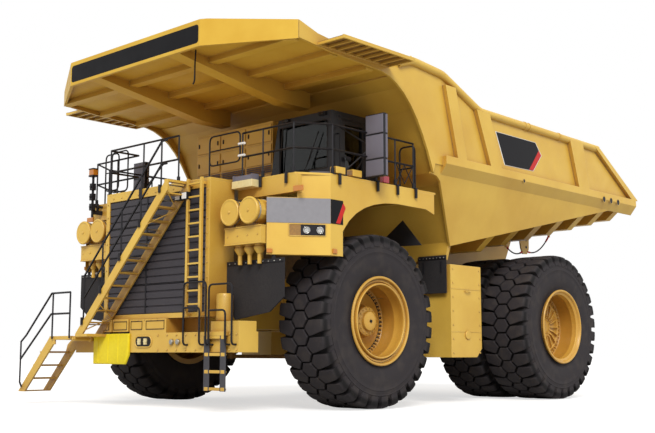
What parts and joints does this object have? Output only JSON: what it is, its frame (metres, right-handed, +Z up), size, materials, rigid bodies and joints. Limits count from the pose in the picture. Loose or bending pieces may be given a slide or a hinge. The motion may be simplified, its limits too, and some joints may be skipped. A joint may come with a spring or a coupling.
{
  "type": "mining dump truck",
  "caption": "Rigid-frame mining haul truck with tipping body and canopy, cab on deck, folding access stair, steered front wheels and twin rear wheels.",
  "frame": {"origin": "centre of the overall box at ground level", "axes": "+Z up, -Y forward, +X the truck's left, where the cab stands"},
  "size_m": [9.4, 14.74, 7.62],
  "materials": {
    "paint": "semi-gloss ochre yellow machine enamel",
    "black_paint": "satin black powder coat",
    "running_gear": "ochre enamel over cast steel, dusty",
    "engine_iron": "painted casting",
    "rod_chrome": "polished hard chrome",
    "window_glass": "tinted flat glass",
    "cab_trim": "moulded trim and seat cloth",
    "flap_rubber": "matt sheet rubber",
    "tyre_rubber": "matt ribbed tyre rubber"
  },
  "bodies": {
    "chassis": {"frame_rails": "paint", "bumper": "paint", "hood_shroud": "paint", "radiator_grille": "black_paint", "engine_block": "engine_iron", "deck_platform": "paint", "cab_shell": "black_paint", "cab_windows": "window_glass", "cab_interior": "cab_trim", "electrical_cabinet": "paint", "upper_stair": "paint", "stair_handrail": "black_paint", "front_ladder": "paint", "bumper_ladder": "paint", "deck_handrail_left": "black_paint", "deck_handrail_right": "black_paint", "hydraulic_tank": "paint", "fuel_tank": "paint", "rear_axle_housing": "paint", "fender_left": "paint", "fender_right": "paint", "mud_flap_left": "flap_rubber", "mud_flap_right": "flap_rubber", "air_cleaners_left": "paint", "air_cleaners_right": "paint"},
    "knuckle_left": {"steering_knuckle_left": "running_gear"},
    "knuckle_right": {"steering_knuckle_right": "running_gear"},
    "steering_rod": {"track_rod": "running_gear"},
    "front_wheel_left": {"front_tyre_left": "tyre_rubber", "front_rim_left": "paint"},
    "front_wheel_right": {"front_tyre_right": "tyre_rubber", "front_rim_right": "paint"},
    "rear_wheels_left": {"rear_rim_left": "paint", "rear_outer_tyre_left": "tyre_rubber", "rear_inner_tyre_left": "tyre_rubber"},
    "rear_wheels_right": {"rear_rim_right": "paint", "rear_outer_tyre_right": "tyre_rubber", "rear_inner_tyre_right": "tyre_rubber"},
    "dump_body": {"body_floor": "paint", "body_front_wall": "paint", "canopy": "paint", "body_side_left": "paint", "body_side_right": "paint"},
    "hoist_barrel_left": {"hoist_barrel_left": "paint"},
    "hoist_stage_left": {"hoist_stage_left": "rod_chrome"},
    "hoist_rod_left": {"hoist_rod_left": "rod_chrome"},
    "hoist_barrel_right": {"hoist_barrel_right": "paint"},
    "hoist_stage_right": {"hoist_stage_right": "rod_chrome"},
    "hoist_rod_right": {"hoist_rod_right": "rod_chrome"},
    "door": {"cab_door": "black_paint", "cab_door_window": "window_glass"},
    "swing_stair": {"lower_stair": "paint", "lower_stair_handrail": "black_paint"}
  },
  "joints": [
    {"name": "body_tip", "type": "hinge", "parent": "chassis", "child": "dump_body", "pos_m": [0, 4.57, 2.95], "axis": [-1, 0, 0], "range_deg": [0, 45]},
    {"name": "steering_left", "type": "hinge", "parent": "chassis", "child": "knuckle_left", "pos_m": [1.95, -3.63, 1.793], "axis": [0, 0, 1], "range_deg": [-30, 30]},
    {"name": "steering_right", "type": "hinge", "parent": "chassis", "child": "knuckle_right", "pos_m": [-1.95, -3.63, 1.793], "axis": [0, 0, 1], "range_deg": [-30, 30]},
    {"name": "steering_rod_eye", "type": "hinge", "parent": "knuckle_left", "child": "steering_rod", "pos_m": [1.95, -2.68, 1.055], "axis": [0, 0, 1], "range_deg": [-30, 30]},
    {"name": "front_roll_left", "type": "hinge", "parent": "knuckle_left", "child": "front_wheel_left", "pos_m": [3.067, -3.63, 1.793], "axis": [1, 0, 0], "continuous": true},
    {"name": "front_roll_right", "type": "hinge", "parent": "knuckle_right", "child": "front_wheel_right", "pos_m": [-3.067, -3.63, 1.793], "axis": [1, 0, 0], "continuous": true},
    {"name": "rear_roll_left", "type": "hinge", "parent": "chassis", "child": "rear_wheels_left", "pos_m": [3.423, 2.97, 1.793], "axis": [1, 0, 0], "continuous": true},
    {"name": "rear_roll_right", "type": "hinge", "parent": "chassis", "child": "rear_wheels_right", "pos_m": [-3.423, 2.97, 1.793], "axis": [1, 0, 0], "continuous": true},
    {"name": "hoist_swing_left", "type": "hinge", "parent": "chassis", "child": "hoist_barrel_left", "pos_m": [1.25, 0.72, 1.4], "axis": [-1, 0, 0], "range_deg": [0, 22.08]},
    {"name": "hoist_stage_slide_left", "type": "slide", "parent": "hoist_barrel_left", "child": "hoist_stage_left", "axis": [0, -0.124, 0.9923], "range_m": [0, 1.4599]},
    {"name": "hoist_rod_slide_left", "type": "slide", "parent": "hoist_stage_left", "child": "hoist_rod_left", "axis": [0, -0.124, 0.9923], "range_m": [0, 1.4599]},
    {"name": "hoist_swing_right", "type": "hinge", "parent": "chassis", "child": "hoist_barrel_right", "pos_m": [-1.25, 0.72, 1.4], "axis": [-1, 0, 0], "range_deg": [0, 22.08]},
    {"name": "hoist_stage_slide_right", "type": "slide", "parent": "hoist_barrel_right", "child": "hoist_stage_right", "axis": [0, -0.124, 0.9923], "range_m": [0, 1.4599]},
    {"name": "hoist_rod_slide_right", "type": "slide", "parent": "hoist_stage_right", "child": "hoist_rod_right", "axis": [0, -0.124, 0.9923], "range_m": [0, 1.4599]},
    {"name": "door_hinge", "type": "hinge", "parent": "chassis", "child": "door", "pos_m": [2.925, -3.183, 5.4], "axis": [0, 0, 1], "range_deg": [0, 90]},
    {"name": "stair_lift", "type": "hinge", "parent": "chassis", "child": "swing_stair", "pos_m": [-2.04, -6.955, 1.45], "axis": [0, 1, 0], "range_deg": [0, 85]}
  ],
  "couplings": [
    {"joint": "steering_right", "follows": "steering_left", "ratio": 1},
    {"joint": "steering_rod_eye", "follows": "steering_left", "ratio": -1},
    {"joint": "hoist_swing_left", "follows": "body_tip", "ratio": 0.48959},
    {"joint": "hoist_stage_slide_left", "follows": "body_tip", "m_per_rad": 1.8575},
    {"joint": "hoist_rod_slide_left", "follows": "body_tip", "m_per_rad": 1.8575},
    {"joint": "hoist_swing_right", "follows": "body_tip", "ratio": 0.48959},
    {"joint": "hoist_stage_slide_right", "follows": "body_tip", "m_per_rad": 1.8575},
    {"joint": "hoist_rod_slide_right", "follows": "body_tip", "m_per_rad": 1.8575}
  ]
}
